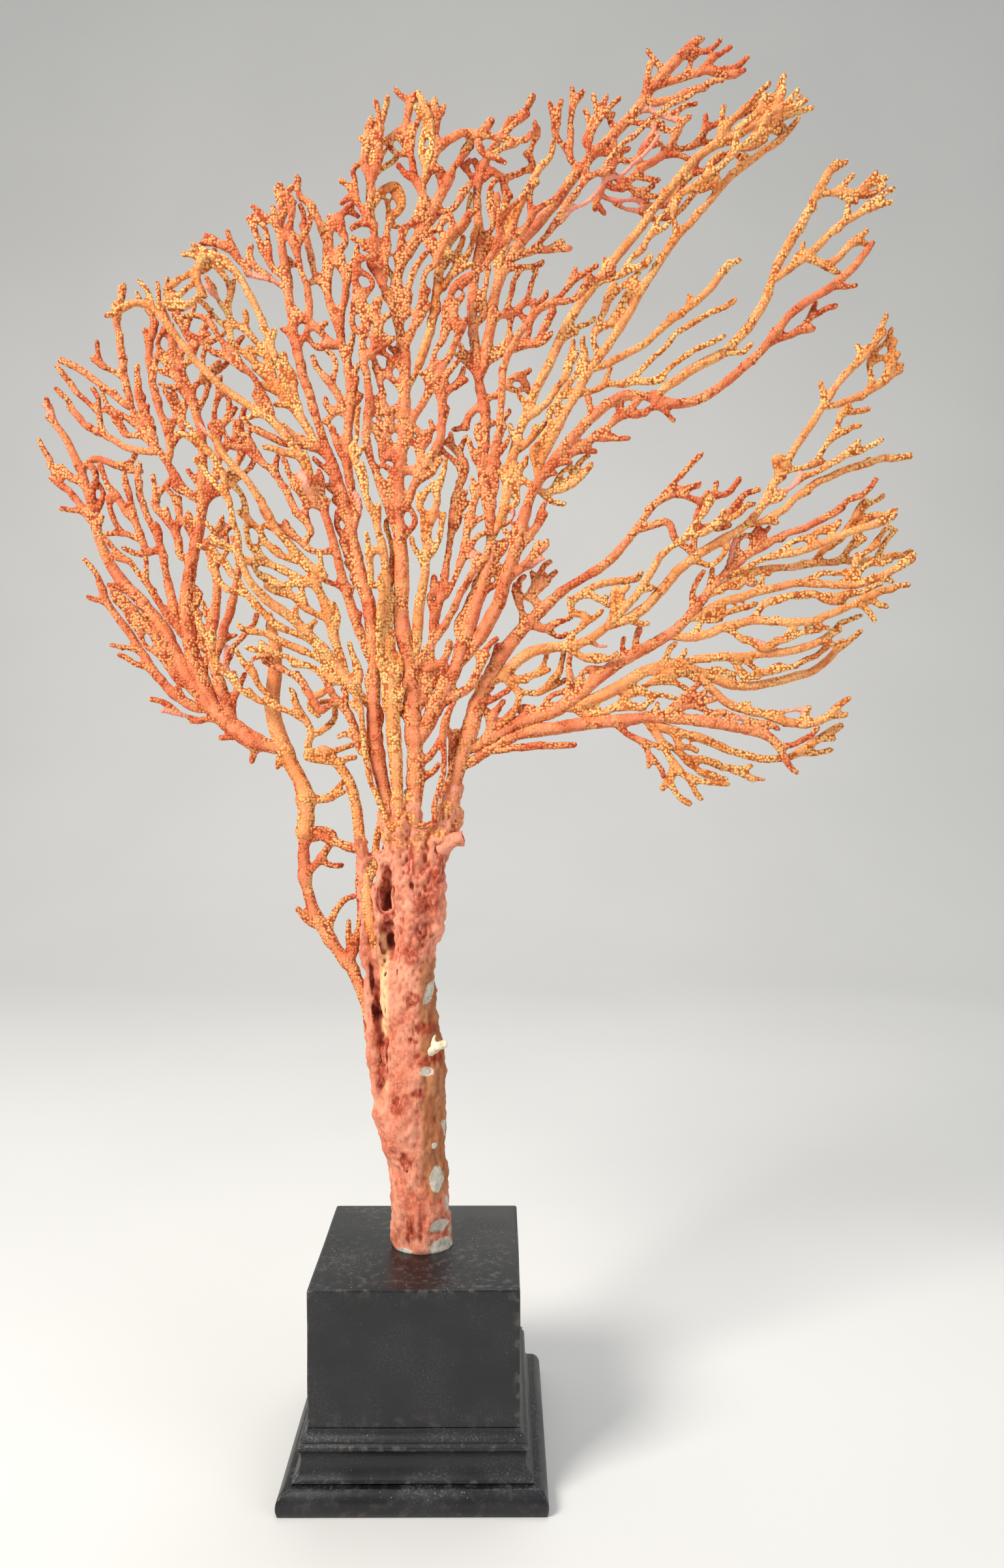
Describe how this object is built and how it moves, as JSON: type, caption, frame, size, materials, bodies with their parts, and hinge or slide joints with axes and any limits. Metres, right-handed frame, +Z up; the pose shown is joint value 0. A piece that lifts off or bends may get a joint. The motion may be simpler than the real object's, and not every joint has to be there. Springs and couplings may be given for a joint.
{
  "type": "sea fan on plinth",
  "caption": "Dried orange-red sea fan with a knotted trunk and a wide flat crown of forked branches, upright on a square black moulded wooden plinth.",
  "frame": {"origin": "middle of the plinth's underside", "axes": "+Z up through the trunk, the fan spreads along X and is seen from the front along +Y"},
  "size_m": [0.3573, 0.1006, 0.5744],
  "materials": {
    "black_paint": "satin black paint on turned-and-moulded wood, fine dust, edges rubbed pale",
    "trunk_crust": "dry matt granular crust, salmon pink with dark red pits and bare grey-white patches",
    "red_crust": "dry matt crust, salmon on the ridge, orange-red with golden polyps on the flanks",
    "golden_crust": "dry matt crust closely dotted with golden-yellow polyps, orange-red between",
    "bare_axis": "bare pale axis, dry and chalky"
  },
  "bodies": {
    "root": {"plinth_foot": "black_paint", "plinth_moulding": "black_paint", "plinth_block": "black_paint", "trunk": "trunk_crust", "bare_stub": "bare_axis", "broken_stub": "trunk_crust", "left_side_stem": "red_crust", "left_flank_stem": "golden_crust", "left_lobe_root": "golden_crust", "left_lobe_brace": "red_crust", "left_lobe_outer": "red_crust", "left_lobe_main": "red_crust", "left_lobe_inner": "red_crust", "left_lobe_low": "red_crust", "left_lobe_near": "red_crust", "left_lobe_twin": "red_crust", "left_lobe_high": "red_crust", "left_lobe_spur": "red_crust", "left_lobe_far": "red_crust", "left_lobe_crest": "red_crust", "crown_left_main": "red_crust", "front_low_stem": "golden_crust", "front_rising_stem": "golden_crust", "crown_left_inner": "red_crust", "front_long_stem": "golden_crust", "crown_left_arch": "golden_crust", "crown_left_upright": "red_crust", "crown_front_stem": "golden_crust", "crown_main": "red_crust", "crown_short_stem": "golden_crust", "crown_spire": "golden_crust", "crown_top_loop": "golden_crust", "crown_cross_stem": "golden_crust", "crown_right_main": "red_crust", "crown_right_leader": "red_crust", "crown_right_twin": "golden_crust", "crown_right_outer": "golden_crust", "right_sweep": "red_crust", "right_long_stem": "golden_crust", "right_high_twig": "golden_crust", "right_rising_stem": "golden_crust", "right_rising_twig": "golden_crust", "right_stem": "red_crust", "right_low_stem": "golden_crust", "right_lobe_edge": "golden_crust", "right_lobe_fork": "golden_crust", "right_lobe_spray": "golden_crust", "right_arm_upper": "red_crust", "right_fan_top": "golden_crust", "right_fan_high": "golden_crust", "right_fan_mid": "golden_crust", "right_fan_low": "golden_crust", "right_arm_middle": "golden_crust", "right_middle_twig": "golden_crust", "right_drooping_twig": "golden_crust", "right_arm_lower": "red_crust", "right_arm_stub": "red_crust", "right_low_sprig": "golden_crust", "right_hanging_twig": "golden_crust"}
  },
  "joints": []
}
